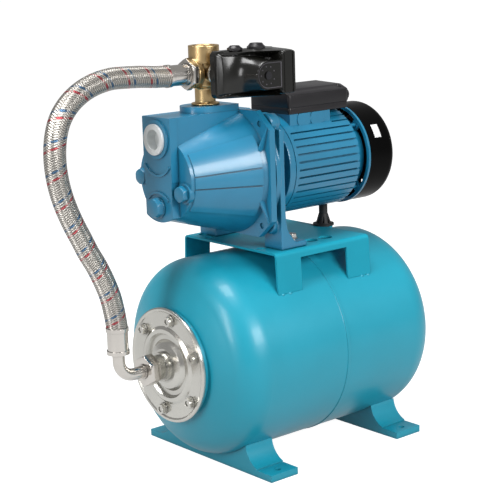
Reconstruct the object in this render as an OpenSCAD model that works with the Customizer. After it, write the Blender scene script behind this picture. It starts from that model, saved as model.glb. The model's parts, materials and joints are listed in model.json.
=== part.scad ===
// Jet pump set: a cast-iron jet pump with a finned motor, bolted on the deck of a
// horizontal pressure tank, with its braided hose, brass fitting and pressure switch.
// Millimetres. +Z is up, the floor is z = 0, the tank lies along X with its flange
// towards -X, and the origin is on the floor, midway between the four foot holes.

/* [Tank] */
// Outer radius of the tank's shell
tank_r = 135; // [133:0.5:136]
// Height of the tank's axis above the floor
tank_z = 146.5; // [146:0.5:148]
// Wall thickness of the tank's shell
tank_wall = 2; // [1.5:0.25:2.5]
// Radius of the tank's counter flange
flange_r = 77.6; // [76:0.2:79]
// Number of bolts in the counter flange
flange_bolt_count = 6; // [4:1:6]
// Radius of the flange's bolt circle
flange_bolt_circle_r = 63; // [62:0.5:64]

/* [Feet and deck] */
// Distance from foot to foot along X
foot_spacing_x = 235; // [230:1:240]
// Distance between one foot's two floor holes
foot_spacing_y = 236; // [230:1:238]
// Radius of the floor holes
foot_hole_r = 4.5; // [4:0.25:5]
// Width of a foot along X
foot_w = 46.5; // [44:0.5:48]
// Height of the deck's top face
deck_z = 292.5; // [292:0.5:294]
// Half width of the deck's top
deck_half_y = 96.7; // [95:0.1:98]

/* [Pump] */
// Height of the pump and motor axis
pump_z = 393.5; // [393:0.5:395]
// Radius of the pump body's cone at the front
cone_front_r = 54; // [53:0.5:55]
// Radius of the pump body's cone at the flange
cone_rear_r = 84; // [83:0.5:84]
// Wall radius of the one inch suction port
port_r = 15.2; // [15:0.1:15.4]
// Radius of the impeller
impeller_r = 60; // [56:1:62]
// Number of impeller vanes
impeller_vanes = 6; // [5:1:7]

/* [Motor] */
// Outer radius over the cooling fins
fin_r = 70; // [69:0.5:71]
// Number of cooling fins around the motor
fin_count = 42; // [36:1:44]
// Radius of the shaft in its bearings
shaft_r = 7.5; // [7:0.25:8]
// Number of blades on the cooling fan
fan_blades = 8; // [6:1:10]

/* [Hose] */
// Outer diameter of the braided hose
hose_d = 28.2; // [27:0.2:29]
// Sides of the hose's tube
hose_sides = 12; // [8:1:12]

/* [Hidden] */
$fn = 64;
eps = 0.01;

// Tank stations along X
seam_x = -2;
flange_x = -204;
tank_end_x = 200;
head_depth = 67;
knuckle_r = 46;
crown_r = 243;
ring_x = flange_x + 3;
neck_hole_r = 52;
neck_ring_r = 73;
front_head_x = flange_x + head_depth;
rear_head_x = tank_end_x - head_depth;

// Deck stations along X
deck_x1 = -92;
deck_x2 = 78;
deck_t = 3;
leg_w = 43;
window_z = 281.7;
foot_bolt_x = -36;
foot_bolt_y = 64;
foot_end_x = -28;
foot_plate_h = 7.5;
support_x = 84;
tab_r = 13;

// Pump stations along X
face_x = -205.5;
round_x = -193.5;
cap_seat_x = -193;
cap_seat_r = 17;
body_flange_x1 = -90;
body_flange_x2 = -81;
bracket_x1 = -79.5;
bracket_x2 = -71;
bolt_seat_x = -65;
block_half_y = 28;
block_top_z = 476;
boss_top_z = 484.5;
suction_z = 447.5;
plug_z = 359;
outlet_x = -123;
thread_r = 16.6;
body_bolt_y = 68;
body_bolt_z = 67;

// Motor stations along X
frame_x1 = -28;
frame_x2 = 90;
frame_core_r = 65;
frame_flat = 65.6;
seat_length = 74;
frame_bore_r = 57;
rim_x1 = 107;
rim_x2 = 110.5;
rim_r = 70.8;
shield_r = 56;
cover_x2 = 163;
rod_circle_r = 61;
box_z = 463;
box_x1 = -17;
box_x2 = 93;
box_y1 = -45;
box_y2 = 35;
gland_y = -31;
gland_z = 480;
front_bearing_x = -41;
rear_bearing_x = 93;
bearing_w = 11;

// Fitting, switch and hose stations
branch_z = 526;
fitting_top_z = 562;
switch_x1 = -139.5;
switch_x2 = -37;
switch_y1 = -90;
switch_y2 = -30;
switch_z1 = 495;
switch_z2 = 556;
boss_x = -91;
boss_z = 524;
gland_xs = [-112, -76];
seat_x = -152.1;
lower_seat_x = -239.1;
upper_ferrule_x = -154.8;
lower_ferrule_z = 179;
leg_x = -281;
tail_r = 8;
hose_route = [
    [-186, 526], [-205, 527], [-227, 529], [-250, 530], [-272, 530], [-294, 526], [-315, 518],
    [-334, 505], [-348, 488], [-356, 467], [-359, 444], [-358, 422], [-354, 400], [-347, 378],
    [-338, 357], [-328, 337], [-318, 317], [-307, 298], [-297, 277], [-289, 256], [-284, 234],
    [-281, 214]
];

// ---------------------------------------------------------------- placing

module along_x(x, z) {
    translate([x, 0, z]) rotate([0, 90, 0]) children();
}

module back_along_x(x, z) {
    translate([x, 0, z]) rotate([0, -90, 0]) children();
}

module along_y(x, y, z) {
    translate([x, y, z]) rotate([-90, 0, 0]) children();
}

module tube(length, r_out, r_in) {
    difference() {
        cylinder(h = length, r = r_out);
        translate([0, 0, -1]) cylinder(h = length + 2, r = r_in);
    }
}

module hex(length, flats) {
    cylinder(h = length, r = flats / sqrt(3), $fn = 6);
}

// A hexagon bolt or screw pointing down, with its head standing on z = 0
module hex_bolt(flats, head_h, shank_r, shank_l) {
    intersection() {
        hex(head_h, flats);
        cylinder(h = head_h, r1 = flats * 0.62, r2 = flats * 0.52);
    }
    translate([0, 0, -shank_l]) cylinder(h = shank_l, r = shank_r);
}

// A flat plate with rounded corners, centred on the origin
module rounded_plate(w, h, t, r) {
    linear_extrude(t) rounded_square(w, h, r);
}

module rounded_square(w, h, r) {
    square([w - 2 * r, h], center = true);
    square([w, h - 2 * r], center = true);
    for (sx = [-1, 1], sy = [-1, 1])
        translate([sx * (w / 2 - r), sy * (h / 2 - r)]) circle(r = r);
}

// ---------------------------------------------------------------- tank

// Half outline of a dished head on a straight shell, inset by t
module head_outline(straight, t) {
    r = tank_r - t;
    k = knuckle_r - t;
    c = crown_r - t;
    centre_h = straight + head_depth - crown_r;
    dx = tank_r - knuckle_r;
    dh = straight - centre_h;
    reach = norm([dx, dh]);
    touch = [c * dx / reach, centre_h + c * dh / reach];
    square([r, straight]);
    translate([dx, straight]) circle(r = k, $fn = 96);
    polygon([[0, straight - 1], [dx, straight - 1], [dx, straight], touch, [0, touch[1]]]);
    intersection() {
        translate([0, centre_h]) circle(r = c, $fn = 360);
        translate([0, touch[1] - eps]) square([touch[0], head_depth]);
    }
}

// The space inside or outside of one tank half, as a solid from the seam
module head_solid(t) {
    rotate_extrude($fn = 128) intersection() {
        head_outline(front_length(), t);
        square([tank_r, front_length() + head_depth]);
    }
}

function front_length() = seam_x - front_head_x;

module shell_half() {
    difference() {
        head_solid(0);
        head_solid(tank_wall);
    }
}

module tank_front_shell() {
    color([0.22, 0.67, 0.76]) difference() {
        back_along_x(seam_x, tank_z) shell_half();
        back_along_x(flange_x + 30, tank_z) cylinder(h = 60, r = neck_hole_r);
    }
}

module tank_rear_shell() {
    color([0.22, 0.67, 0.76]) {
        difference() {
            along_x(seam_x, tank_z) shell_half();
            along_x(tank_end_x - 20, tank_z) cylinder(h = 40, r = 4.5);
        }
        along_x(seam_x, tank_z) tube(4, tank_r + 0.8, tank_r - 0.5);
    }
}

module tank_membrane() {
    bag_r = 50;
    color([0.12, 0.12, 0.12]) along_x(ring_x, tank_z) rotate_extrude() {
        translate([44, 0]) square([13, 2.5]);
        difference() {
            membrane_outline(bag_r, 0);
            membrane_outline(bag_r - 2, 2);
            square([44, 40]);
        }
    }
}

module membrane_outline(r, inset) {
    translate([68, 62]) circle(r = r);
    translate([68, 270]) circle(r = r);
    translate([0, 62]) square([68 + r, 208]);
    translate([0, 62 - r]) square([68, 208 + 2 * r]);
    square([47 - inset, 62]);
}

module flange_pattern() {
    for (i = [0 : flange_bolt_count - 1])
        rotate([0, 0, 10 + i * 360 / flange_bolt_count])
            translate([flange_bolt_circle_r, 0, 0]) children();
}

module tank_neck_ring() {
    color([0.22, 0.67, 0.76]) difference() {
        along_x(ring_x, tank_z) tube(20, neck_ring_r, 57.5);
        back_along_x(seam_x, tank_z) head_solid(0);
        along_x(ring_x - 1, tank_z) flange_pattern() cylinder(h = 30, r = 4);
    }
}

// Stamped counter flange with its raised edge, dished rings and threaded stub
module tank_flange() {
    face = [
        [flange_r, -0.5], [flange_r - 0.5, 0.8], [flange_r - 1.8, 1.4], [flange_r - 4, 1.2],
        [71.6, 0], [53, 0], [49, 3], [44, 3], [41, -2.5], [35, -2.5], [31, 2.5], [23, 5],
        [19, 5]
    ];
    count = len(face);
    outline = concat(
        [for (p = face) p],
        [for (i = [count - 1 : -1 : 0]) [face[i][0], face[i][1] - 3]]
    );
    color([0.80, 0.79, 0.74]) difference() {
        back_along_x(flange_x, tank_z) {
            rotate_extrude($fn = 96) polygon(outline);
            translate([0, 0, 2]) cylinder(h = 33, r = thread_r);
            translate([0, 0, 1]) cylinder(h = 12, r = 19.5);
        }
        back_along_x(flange_x + 20, tank_z) cylinder(h = 90, r = 12);
        along_x(flange_x - 10, tank_z) flange_pattern() cylinder(h = 30, r = 4.4);
    }
}

module flange_bolts() {
    color([0.85, 0.85, 0.83]) back_along_x(flange_x, tank_z)
        rotate([0, 0, 180]) mirror([1, 0, 0]) flange_pattern() {
            cylinder(h = 1.4, r = 8);
            translate([0, 0, 1.4]) difference() {
                hex_bolt(13, 5.6, 3.99, 8.5);
                translate([0, 0, 4.4]) cylinder(h = 3, r = 3.6);
            }
        }
}

module air_valve_stem() {
    color([0.78, 0.65, 0.36]) along_x(tank_end_x, tank_z) difference() {
        union() {
            translate([0, 0, -6]) cylinder(h = 24, r = 4.4);
            translate([0, 0, 17]) cylinder(h = 7, r = 3.8);
            cylinder(h = 4, r = 9);
            translate([0, 0, -6]) cylinder(h = 3.7, r = 8);
        }
        translate([0, 0, -7]) cylinder(h = 40, r = 2.2);
    }
}

module air_valve_pin() {
    color([0.8, 0.7, 0.4]) along_x(tank_end_x, tank_z) {
        translate([0, 0, -4]) cylinder(h = 27, r = 0.8);
        translate([0, 0, 4]) cylinder(h = 6, r = 2.1);
    }
}

module air_valve_cap() {
    color([0.08, 0.08, 0.08]) along_x(tank_end_x + 4.2, tank_z) difference() {
        cylinder(h = 24, r = 10);
        translate([0, 0, -1]) cylinder(h = 15.5, r = 5.5);
        translate([0, 0, 13]) cylinder(h = 8.5, r = 3.88);
        for (a = [0 : 30 : 359])
            rotate([0, 0, a]) translate([10.6, 0, 6]) cylinder(h = 30, r = 1.2);
    }
}

// ---------------------------------------------------------------- feet and deck

// Side outline of a foot: flat ends, a hollow rise and a saddle for the tank
module foot_side(t) {
    half = 131.5 - t;
    difference() {
        translate([-half, -1]) square([2 * half, 46 - t + 1]);
        for (s = [-1, 1]) {
            translate([s * 112, 41 - t]) circle(r = 31.5);
            translate([s * 122, 9.5 - t]) translate([-10, 0]) square([30, 60]);
        }
        translate([0, tank_z]) circle(r = tank_r + t, $fn = 180);
    }
}

module foot(x) {
    skin = 2.5;
    color([0.22, 0.67, 0.76]) translate([x, 0, 0]) difference() {
        union() {
            difference() {
                translate([-foot_w / 2, 0, 0]) rotate([90, 0, 90]) linear_extrude(foot_w)
                    intersection() {
                        foot_side(0);
                        translate([-140, 0]) square([280, 60]);
                    }
                translate([-foot_w / 2 + skin, 0, 0]) rotate([90, 0, 90])
                    linear_extrude(foot_w - 2 * skin) foot_side(skin);
            }
            // spacer collars round the bolt holes, from the floor up
            for (s = [-1, 1])
                translate([0, s * foot_spacing_y / 2, 0]) cylinder(h = 8, r = 8);
        }
        for (s = [-1, 1])
            translate([0, s * foot_spacing_y / 2, -1]) cylinder(h = 20, r = foot_hole_r);
    }
}

module front_foot() {
    foot(-foot_spacing_x / 2);
}

module rear_foot() {
    foot(foot_spacing_x / 2);
}

function arc_points(cx, cy, r, a1, a2, steps = 6) = [
    for (i = [0 : steps]) let (a = a1 + (a2 - a1) * i / steps) [cx + r * cos(a), cy + r * sin(a)]
];

module deck_section(t) {
    lean = 3;
    y = deck_half_y - t;
    z = deck_z - t;
    bend = 6 - t;
    polygon(concat(
        [[y + lean, 235]],
        arc_points(y - bend, z - bend, bend, 0, 90),
        arc_points(-y + bend, z - bend, bend, 90, 180),
        [[-y - lean, 235]]
    ));
}

// Folded sheet deck: a flat top on four legs that are welded to the tank, with a
// rounded tab under the motor's post
module deck() {
    color([0.22, 0.67, 0.76]) difference() {
        union() {
            translate([deck_x1, 0, 0]) rotate([90, 0, 90])
                linear_extrude(deck_x2 - deck_x1) difference() {
                    deck_section(0);
                    deck_section(deck_t);
                    translate([-150, 180]) square([300, 55.5]);
                }
            translate([deck_x2 - 8, -tab_r, deck_z - deck_t])
                cube([support_x - deck_x2 + 8, 2 * tab_r, deck_t]);
            translate([support_x, 0, deck_z - deck_t]) cylinder(h = deck_t, r = tab_r);
        }
        translate([deck_x1 + leg_w, -150, 200])
            cube([deck_x2 - deck_x1 - 2 * leg_w, 300, window_z - 200]);
        along_x(deck_x1 - 10, tank_z) cylinder(h = 200, r = tank_r);
        for (s = [-1, 1]) {
            translate([-81.5, s * 55, deck_z - 10]) cylinder(h = 20, r = 6);
            translate([-1, s * 65, deck_z - 10]) cylinder(h = 20, r = 9.5);
            translate([26, s * 65, deck_z - 10]) cylinder(h = 20, r = 9.5);
            translate([foot_bolt_x, s * foot_bolt_y, deck_z - 10]) cylinder(h = 20, r = 4.5);
        }
        translate([-74, 78, deck_z - 10]) cylinder(h = 20, r = 6);
        translate([support_x, 0, deck_z - 10]) cylinder(h = 20, r = 5);
    }
}

// ---------------------------------------------------------------- pump

// Octagonal flange outline shared by the body, its gasket and the bracket
module flange_outline() {
    polygon([
        [-88, -60], [-61, -83.5], [61, -83.5], [88, -60], [88, 60], [61, 83.5], [-61, 83.5],
        [-88, 60]
    ]);
}

// A plate of a given thickness with its outline in Y and Z, starting at x
module plate_yz(x, t) {
    translate([x, 0, pump_z]) rotate([90, 0, 90]) linear_extrude(t) children();
}

module body_bolt_places() {
    for (sy = [-1, 1], sz = [-1, 1])
        translate([0, sy * body_bolt_y, pump_z + sz * body_bolt_z]) children();
}

// Part ring on the body's front face, from angle a1 to a2 about its centre
module face_arc(z, r, a1, a2) {
    back_along_x(face_x, z) rotate([0, 0, a1]) rotate_extrude(angle = a2 - a1)
        translate([r - 3, -1]) square([3, 3]);
}

// Raised land on the cone, from angle a1 to a2 below the top on both sides
module cone_land(a1, a2) {
    slope = (cone_rear_r - cone_front_r) / (body_flange_x1 - round_x);
    x1 = -189;
    x2 = -98;
    r1 = cone_front_r + slope * (x1 - round_x);
    r2 = cone_front_r + slope * (x2 - round_x);
    for (side = [180 + a1, 180 - a2])
        along_x(x1, pump_z) rotate([0, 0, side]) rotate_extrude(angle = a2 - a1)
            polygon([[r1 - 3, 0], [r1 + 2, 0], [r2 + 2, x2 - x1], [r2 - 3, x2 - x1]]);
}

module pump_body_solid() {
    along_x(round_x, pump_z)
        cylinder(h = body_flange_x1 - round_x, r1 = cone_front_r, r2 = cone_rear_r, $fn = 128);
    translate([face_x, -block_half_y, pump_z])
        cube([body_flange_x1 - face_x, 2 * block_half_y, block_top_z - pump_z]);
    intersection() {
        along_x(face_x, pump_z) cylinder(h = 14, r = cone_front_r);
        translate([face_x, -block_half_y, 300]) cube([14, 2 * block_half_y, 120]);
    }
    // outlet boss, round at its front end
    translate([-132, 0, 470]) cylinder(h = boss_top_z - 470, r = 27);
    translate([-132, -27, 470]) cube([43, 54, boss_top_z - 470]);
    // front plate, a little wider than the block
    translate([face_x, -block_half_y - 1, pump_z]) cube([11.5, 2 * block_half_y + 2, block_top_z - pump_z - 0.5]);
    plate_yz(body_flange_x1, body_flange_x2 - body_flange_x1) flange_outline();
    back_along_x(face_x + 2, suction_z) cylinder(h = 4.5, r = 25.5);
    face_arc(432, 33, 125, 235);
    face_arc(350, 30, -48, 48);
    for (s = [-1, 1]) {
        translate([0, s == 1 ? 41 : -41, s == 1 ? 395 : 380]) back_along_x(round_x + 12, 0)
            cylinder(h = 15, r = 13.5);
    }
    cone_land(50, 81);
    cone_land(82.5, 97);
    cone_land(98.5, 130);
    corner_ribs();
}

// Thin ribs from the flange's corners to the cone
module corner_ribs() {
    for (my = [0, 1], mz = [0, 1])
        translate([0, 0, pump_z]) mirror([0, my, 0]) mirror([0, 0, mz])
            translate([body_flange_x1, -83.5, 63]) rotate([106, 0, 0])
                linear_extrude(3, center = true)
                    polygon([[1, 0], [-1.2, 0], [-7, -22], [-12, -36], [1, -36]]);
}

module pump_body() {
    color([0.16, 0.46, 0.64]) difference() {
        pump_body_solid();
        // water space, from the front chamber to the diffuser
        along_x(-186, pump_z) cylinder(h = 96.5, r1 = 44, r2 = 74);
        along_x(-90, pump_z) cylinder(h = 20, r = 74);
        // suction passage and its port
        back_along_x(-106, suction_z) cylinder(h = 100, r = port_r - 1.2);
        back_along_x(-171, suction_z) cylinder(h = 50, r = port_r);
        back_along_x(cap_seat_x, suction_z) cylinder(h = 30, r = cap_seat_r);
        // outlet port
        translate([outlet_x, 0, 440]) cylinder(h = 60, r = thread_r);
        // drain plug and side plugs
        back_along_x(-180, plug_z) cylinder(h = 40, r = 10);
        translate([0, 41, 0]) back_along_x(-176, 395) cylinder(h = 40, r = 8);
        translate([0, -41, 0]) back_along_x(-176, 380) cylinder(h = 40, r = 8);
        body_bolt_places() translate([-100, 0, 0]) rotate([0, 90, 0]) cylinder(h = 40, r = 4);
    }
    color([0.16, 0.46, 0.64]) difference() {
        along_x(-188, pump_z) cylinder(h = 14, r = 16);
        along_x(-180, pump_z) cylinder(h = 20, r = 9);
    }
}

module suction_cap() {
    color([0.92, 0.93, 0.92]) back_along_x(face_x - 2.6, suction_z) difference() {
        union() {
            cylinder(h = 3.2, r = 20);
            translate([0, 0, -12]) cylinder(h = 13, r = cap_seat_r - 0.08);
        }
        translate([0, 0, -10]) cylinder(h = 20, r = 13.2);
    }
}

module front_plug() {
    color([0.17, 0.48, 0.66]) back_along_x(face_x - 0.1, plug_z) {
        cylinder(h = 2, r = 13.5);
        translate([0, 0, 2]) hex_bolt(23, 9, 9.93, 14);
    }
}

module side_plugs() {
    color([0.17, 0.48, 0.66]) for (place = [[41, 395], [-41, 380]])
        translate([0, place[0], 0]) back_along_x(round_x - 3, place[1]) hex_bolt(19, 8, 8, 18);
}

module ejector_nozzle() {
    color([0.72, 0.58, 0.30]) along_x(-180, pump_z) difference() {
        union() {
            cylinder(h = 8, r = 8.95);
            translate([0, 0, 6]) hex(4, 17);
            translate([0, 0, 9]) cylinder(h = 14, r1 = 8, r2 = 5);
        }
        translate([0, 0, -1]) cylinder(h = 10, r = 6);
        translate([0, 0, 8]) cylinder(h = 13, r1 = 6, r2 = 3);
        translate([0, 0, 20]) cylinder(h = 10, r = 3);
    }
}

module ejector_tube() {
    color([0.15, 0.15, 0.16]) along_x(-150, pump_z) difference() {
        union() {
            cylinder(h = 10, r1 = 15, r2 = 12);
            translate([0, 0, 9]) cylinder(h = 33, r1 = 12, r2 = 17);
            translate([0, 0, 34]) cylinder(h = 4, r = 22);
        }
        translate([0, 0, -1]) cylinder(h = 12, r1 = 12, r2 = 6);
        translate([0, 0, 10]) cylinder(h = 34, r1 = 6, r2 = 13);
    }
}

module diffuser() {
    color([0.16, 0.16, 0.17]) along_x(-112, pump_z) {
        difference() {
            cylinder(h = 4, r = 66);
            translate([0, 0, -1]) cylinder(h = 6, r = 17.5);
        }
        difference() {
            translate([0, 0, 3]) tube(29.5, 67, 63.5);
            for (a = [0 : 45 : 359])
                rotate([0, 0, a]) translate([60, -6, 8]) cube([20, 12, 10]);
        }
    }
}

// ---------------------------------------------------------------- turning parts

module impeller() {
    vane_r = 34;
    color([0.72, 0.58, 0.30]) along_x(-100, pump_z) {
        difference() {
            union() {
                translate([0, 0, 10]) cylinder(h = 3, r = impeller_r);
                translate([0, 0, 1]) cylinder(h = 15, r = 13);
            }
            translate([0, 0, -1]) cylinder(h = 30, r = 6);
        }
        tube_ring();
        for (i = [0 : impeller_vanes - 1])
            rotate([0, 0, i * 360 / impeller_vanes]) intersection() {
                translate([0, 0, 2.5]) tube(8, impeller_r - 0.5, 16);
                translate([vane_r, 0, 0]) tube(12, vane_r, vane_r - 2.2);
                translate([0, 0, -1]) cube([80, 80, 20]);
            }
    }
}

// The impeller's front shroud with its eye
module tube_ring() {
    translate([0, 0, 1]) tube(2, impeller_r, 17);
    translate([0, 0, -2]) tube(4, 19.5, 17);
}

module seal_rotor() {
    color([0.15, 0.15, 0.15]) along_x(-83.9, pump_z) {
        tube(2, 12, 6);
        translate([0, 0, 1.9]) tube(4.9, 10.5, shaft_r);
    }
}

module seal_seat() {
    color([0.9, 0.88, 0.82]) along_x(-77, pump_z) tube(6, 16, 9.5);
}

module shaft() {
    color([0.75, 0.76, 0.78]) along_x(0, pump_z) {
        translate([0, 0, -103]) cylinder(h = 22, r = 6);
        translate([0, 0, -81.9]) cylinder(h = 185.9, r = shaft_r);
        translate([0, 0, -27]) cylinder(h = 118, r = 9);
        translate([0, 0, 103]) cylinder(h = 36, r = 6.5);
    }
}

module rotor_core() {
    color([0.55, 0.56, 0.58]) along_x(-5, pump_z) {
        tube(80, 33, 9);
        translate([0, 0, -8]) tube(8, 31, 20);
        translate([0, 0, 80]) tube(8, 31, 20);
    }
}

module bearing_places() {
    for (x = [front_bearing_x, rear_bearing_x]) along_x(x, pump_z) children();
}

module ball_groove() {
    rotate_extrude() translate([12.5, bearing_w / 2]) circle(r = 3.12);
}

module bearing_outer_rings() {
    color([0.7, 0.71, 0.73]) bearing_places() difference() {
        tube(bearing_w, 17.5, 14.8);
        ball_groove();
    }
}

module bearing_inner_rings() {
    color([0.7, 0.71, 0.73]) bearing_places() difference() {
        tube(bearing_w, 10.2, shaft_r);
        ball_groove();
    }
}

module bearing_balls() {
    color([0.8, 0.81, 0.83]) bearing_places() for (i = [0 : 7])
        rotate([0, 0, 45 * i]) translate([12.5, 0, bearing_w / 2]) sphere(r = 3, $fn = 24);
}

module fan() {
    color([0.2, 0.2, 0.2]) along_x(123, pump_z) {
        tube(14, 16, 6.5);
        tube(2, 50, 15);
        for (i = [0 : fan_blades - 1])
            rotate([0, 0, i * 360 / fan_blades]) translate([15, -1, 1]) cube([36, 2, 22]);
    }
}

// ---------------------------------------------------------------- bracket and motor

module body_gasket() {
    color([0.08, 0.08, 0.09]) difference() {
        plate_yz(body_flange_x2, bracket_x1 - body_flange_x2) scale(0.97) flange_outline();
        along_x(body_flange_x2 - 1, pump_z) cylinder(h = 5, r = 74);
        body_bolt_places() translate([-100, 0, 0]) rotate([0, 90, 0]) cylinder(h = 40, r = 4.5);
    }
}

module body_bolts() {
    color([0.17, 0.48, 0.66]) body_bolt_places() translate([bolt_seat_x, 0, 0])
        rotate([0, 90, 0]) hex_bolt(13, 5.6, 3.99, 23);
}

// Bell bracket between pump and motor, with its two feet on the deck
module motor_bracket() {
    color([0.16, 0.46, 0.64]) difference() {
        union() {
            plate_yz(bracket_x1, bracket_x2 - bracket_x1) bracket_outline();
            along_x(bracket_x2 - 1, pump_z)
                cylinder(h = frame_x1 - bracket_x2 + 1, r = fin_r - 0.3);
            along_x(frame_x1 - 1, pump_z) cylinder(h = 4, r = frame_bore_r);
            for (s = [-1, 1]) bracket_leg(s);
            body_bolt_places() translate([bracket_x1 + 1, 0, 0]) rotate([0, 90, 0])
                cylinder(h = bolt_seat_x - bracket_x1 - 1, r = 12);
        }
        bell_space();
        along_x(bracket_x1 - 1, pump_z) cylinder(h = 10, r = 16);
        along_x(bracket_x1 - 1, pump_z) cylinder(h = 30, r = 10);
        along_x(front_bearing_x - 12, pump_z) cylinder(h = 13, r = 14);
        along_x(front_bearing_x, pump_z) cylinder(h = 30, r = 17.5);
        for (s = [-1, 1]) {
            along_y(-51, s == 1 ? 30 : -90, pump_z) linear_extrude(60) bell_window();
            translate([foot_bolt_x, s * foot_bolt_y, deck_z - 1]) cylinder(h = 20, r = 4.5);
        }
        body_bolt_places() {
            translate([-100, 0, 0]) rotate([0, 90, 0]) cylinder(h = 40, r = 4.5);
            translate([bolt_seat_x, 0, 0]) rotate([0, 90, 0]) cylinder(h = 40, r = 8.6);
        }
        rod_places() translate([0, 0, -34]) cylinder(h = 20, r = 2.5);
    }
}

// Round flange cut flat above and below, with a boss at each body bolt
module bracket_outline() {
    intersection() {
        circle(r = 88.2, $fn = 128);
        square([200, 167], center = true);
    }
    for (sy = [-1, 1], sz = [-1, 1])
        translate([sy * body_bolt_y, sz * body_bolt_z]) circle(r = 12.5);
}

// Ring pocket inside the bell, around the bearing hub
module bell_space() {
    along_x(bracket_x2 + 1, pump_z) rotate_extrude()
        polygon([[24, 0], [60, 0], [58, 35], [24, 35]]);
}

// Opening in the side of the bell, round with two straight edges
module bell_window() {
    intersection() {
        circle(r = 38);
        translate([-12, -40]) square([24, 80]);
    }
}

// One leg: a thin upright web that flares into a bolted foot plate
module bracket_leg(s) {
    front = bracket_x2 - 1;
    outline = [
        [front, 0], [foot_end_x, 0], [foot_end_x, foot_plate_h], [-45, foot_plate_h],
        [-48.5, 9.5], [-52, 13], [-56.5, 19], [-60.5, 25], [-63, 36], [-64, 50], [-64, 160],
        [front, 160]
    ];
    translate([0, s * 69 + 17.5, deck_z]) rotate([90, 0, 0]) linear_extrude(35)
        polygon(outline);
}

module rod_places() {
    for (a = [45 : 90 : 359])
        along_x(0, pump_z) rotate([0, 0, a]) translate([rod_circle_r, 0, 0]) children();
}

// Finned barrel with the flat seat of the terminal box
module motor_frame() {
    color([0.17, 0.48, 0.66]) difference() {
        union() {
            difference() {
                along_x(frame_x1, pump_z) cylinder(h = frame_x2 - frame_x1, r = fin_r);
                fin_grooves();
                translate([frame_x1 - 1, -80, pump_z - fin_r - 10])
                    cube([200, 160, 10 + fin_r - frame_flat]);
            }
            translate([box_x1 + 2, box_y1 + 1, 428])
                cube([seat_length, 2 * (-box_y1 - 1), box_z - 428]);
            for (x = [10, 34]) along_y(x, box_y1 - 0.2, 455) rotate([0, 0, -60]) cylinder(h = 20, r = 12);
        }
        along_x(frame_x1 - 1, pump_z) cylinder(h = 200, r = frame_bore_r);
        rod_places() translate([0, 0, -60]) cylinder(h = 190, r = 2.6);
        translate([box_x1 - 1, -60, box_z]) cube([120, 120, 30]);
        translate([20, 0, 430]) cylinder(h = 60, r = 12);
    }
}

// Grooves between the fins: under the terminal box's seat they start behind it
module fin_grooves() {
    groove_w = 2.6;
    for (i = [0 : fin_count - 1]) {
        turn = 6.4 + i * 360 / fin_count;
        start = abs(turn - 180) > 43 ? frame_x1 + 5.5 : box_x1 + 3 + seat_length;
        along_x(start, pump_z) rotate([0, 0, turn])
            translate([frame_core_r, -groove_w / 2, 0]) cube([9, groove_w, 130]);
    }
}

module stator_core() {
    color([0.5, 0.5, 0.52]) along_x(-5, pump_z) difference() {
        tube(80, frame_bore_r, 33.6);
        for (i = [0 : 23])
            rotate([0, 0, 15 * i]) translate([42, 0, -1]) {
                translate([-9, -1, 0]) cube([10, 2, 90]);
                cylinder(h = 90, r = 3.2);
                translate([5, 0, 0]) cylinder(h = 90, r = 3.8);
            }
    }
}

module stator_windings() {
    color([0.72, 0.38, 0.18]) for (x = [-21, 75]) along_x(x, pump_z) difference() {
        rotate_extrude() {
            translate([37, 0]) square([14, 15.9]);
            translate([44, x < 0 ? 0 : 15.9]) circle(r = 3.8);
        }
        translate([0, 0, x < 0 ? 15.9 : -20]) cylinder(h = 20, r = 70);
    }
}

// Rear shield: bearing hub, dark neck behind the fins, rim and cover spigot
module rear_end_shield() {
    color([0.15, 0.42, 0.58]) difference() {
        along_x(frame_x2, pump_z) rotate_extrude($fn = 96) {
            translate([52.4, -4]) square([frame_bore_r - 52.6, 5]);
            translate([0, 0.05]) square([frame_core_r - 0.6, 3.5]);
            translate([0, 3]) square([shield_r, 17]);
            translate([0, rim_x1 - frame_x2]) square([rim_r, rim_x2 - rim_x1]);
            translate([0, rim_x2 - frame_x2]) square([68.3, 8]);
        }
        along_x(rear_bearing_x, pump_z) cylinder(h = bearing_w, r = 17.5);
        along_x(frame_x2 - 1, pump_z) cylinder(h = 60, r = 10);
        along_x(frame_x2 - 1, pump_z) difference() {
            cylinder(h = 12, r = 52);
            cylinder(h = 12, r = 22);
        }
        along_x(rim_x2 + 1, pump_z) cylinder(h = 20, r = 65.5);
        air_gaps();
        rod_places() translate([0, 0, 80]) cylinder(h = 60, r = 2.6);
        cover_screw_places() cylinder(h = 80, r = 2);
    }
}

// Curved gaps in the shield's rim, between four arms, where the fan's air comes out
module air_gaps() {
    along_x(rim_x1 - 1, pump_z) difference() {
        cylinder(h = 20, r = 66);
        translate([0, 0, -1]) cylinder(h = 30, r = shield_r);
        for (a = [45 : 90 : 359])
            rotate([0, 0, a]) translate([0, -6, -2]) cube([80, 12, 30]);
    }
}

module tie_rods() {
    color([0.7, 0.7, 0.72]) rod_places() {
        translate([0, 0, -34]) cylinder(h = 146, r = 2.5);
        translate([0, 0, 111.5]) hex(4, 7);
    }
}

module fan_cover() {
    wall = 1.5;
    color([0.04, 0.04, 0.04]) difference() {
        along_x(rim_x2 + 0.1, pump_z) difference() {
            cover_solid(0);
            translate([0, 0, -eps]) cover_solid(wall);
            for (ring = [[20, 12], [34, 20], [48, 28]], i = [0 : ring[1] - 1])
                rotate([0, 0, i * 360 / ring[1]])
                    translate([ring[0] - 5, -1.8, 40]) cube([10, 3.6, 30]);
        }
        cover_screw_places() translate([0, 0, 50]) cylinder(h = 40, r = 2.2);
    }
}

// Radial places of the cover's screws, measured from straight down
module cover_screw_places() {
    for (a = [0, 60, 120])
        along_x(rim_x2 + 4.1, pump_z) rotate([0, 0, a]) rotate([0, 90, 0]) children();
}

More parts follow.
